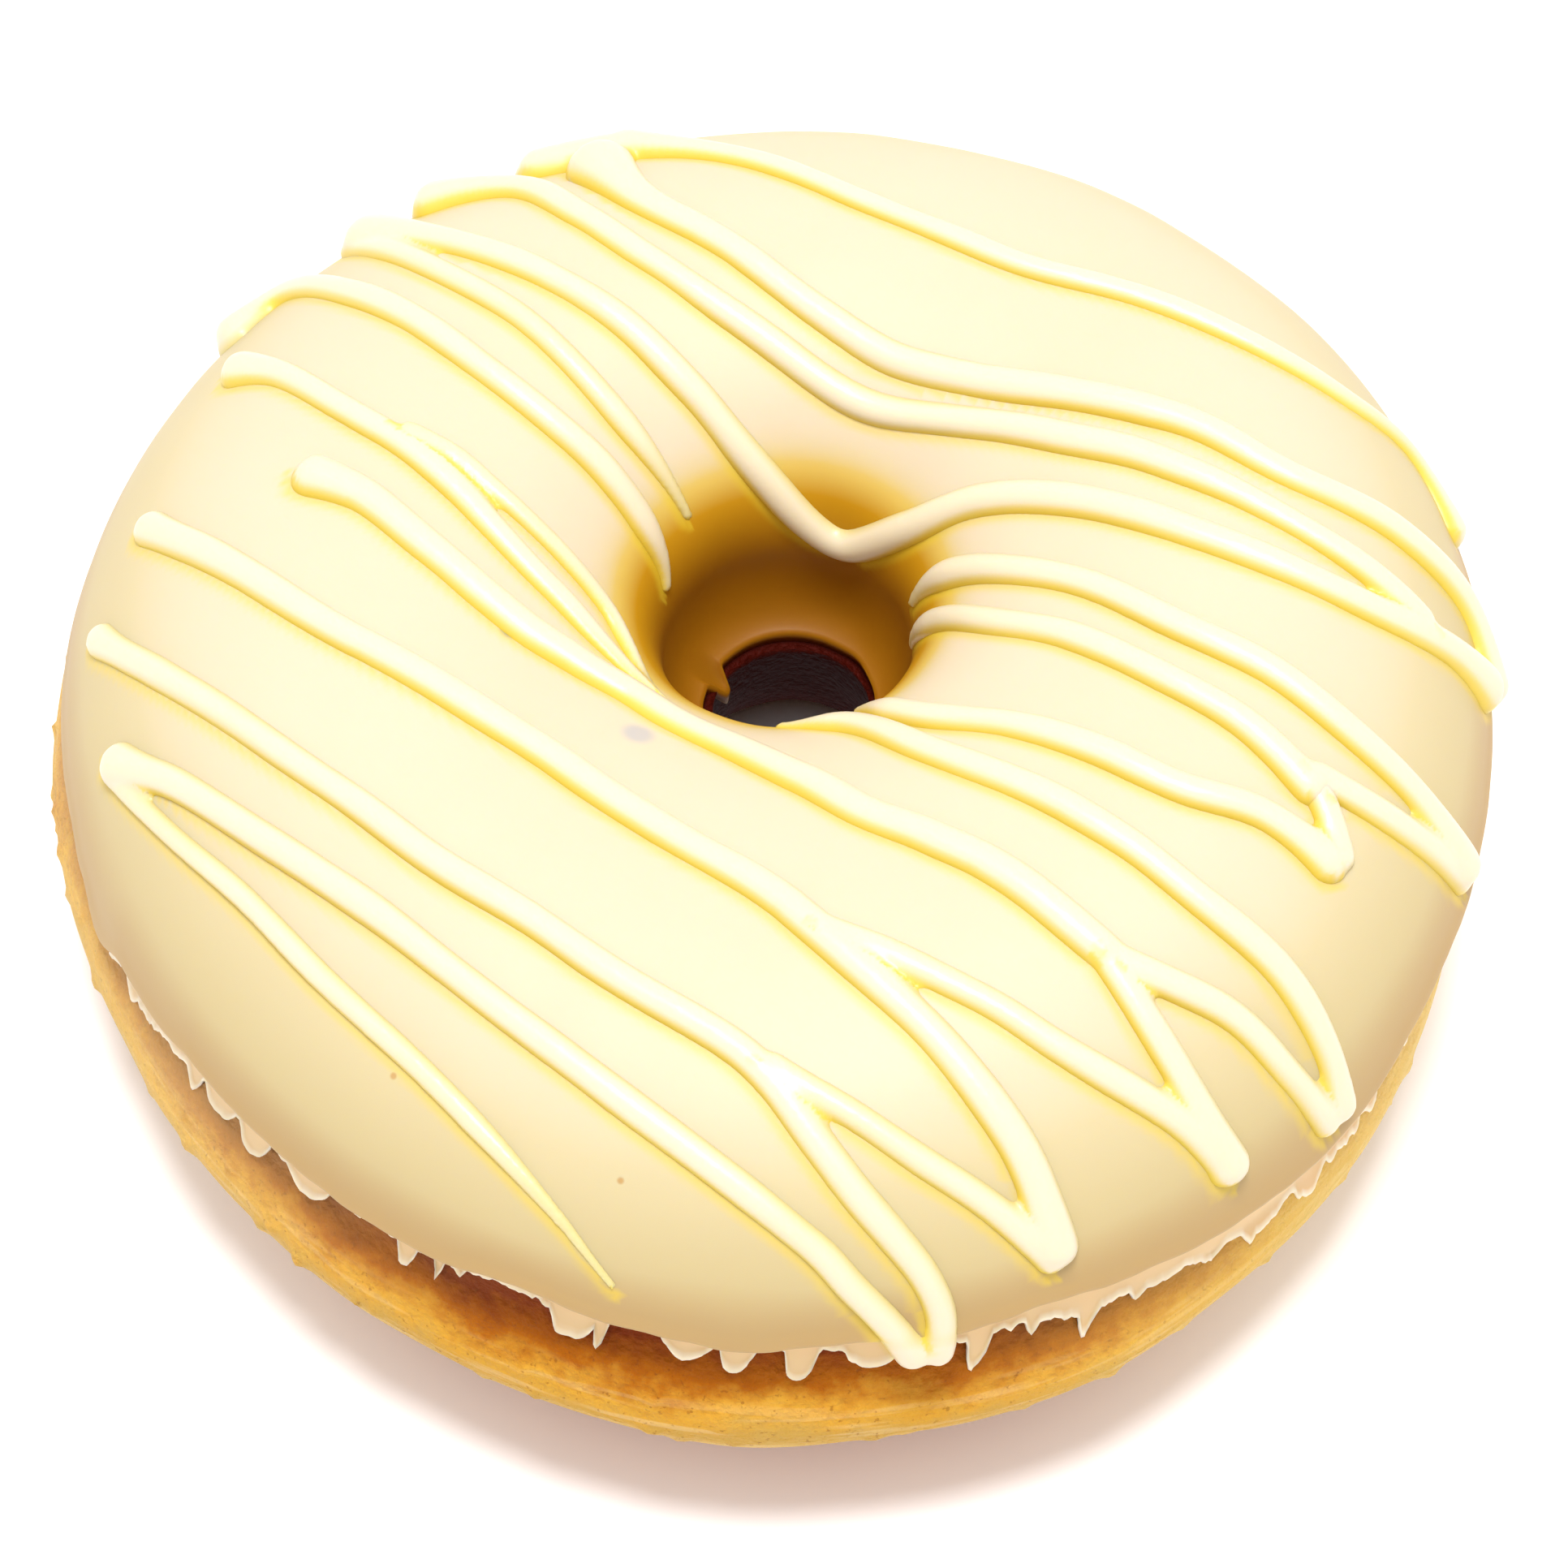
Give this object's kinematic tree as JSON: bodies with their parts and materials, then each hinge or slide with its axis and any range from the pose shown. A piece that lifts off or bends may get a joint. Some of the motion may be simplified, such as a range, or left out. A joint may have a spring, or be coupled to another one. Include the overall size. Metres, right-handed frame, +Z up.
{
  "type": "ring doughnut",
  "caption": "Raised ring doughnut dipped in pale chocolate and drizzled with threads of the same chocolate, with a bare dough belt and a flat base.",
  "frame": {"origin": "under the middle of the whole doughnut, on the surface it rests on", "axes": "+Z up out of the coated top, -Y towards the viewer's side of the ring, +X to the viewer's right"},
  "size_m": [0.0968, 0.0987, 0.0347],
  "materials": {
    "fried_dough": "fried crust, satin, fine pores and wrinkles",
    "pale_chocolate": "smooth satin gloss, slightly translucent",
    "drizzle_chocolate": "smooth gloss, slightly translucent"
  },
  "bodies": {
    "root": {"dough_ring": "fried_dough", "icing_coat": "pale_chocolate", "drizzle_back": "drizzle_chocolate", "drizzle_left": "drizzle_chocolate", "drizzle_inner_left": "drizzle_chocolate", "drizzle_front": "drizzle_chocolate", "drizzle_right": "drizzle_chocolate", "drizzle_short": "drizzle_chocolate"}
  },
  "joints": []
}
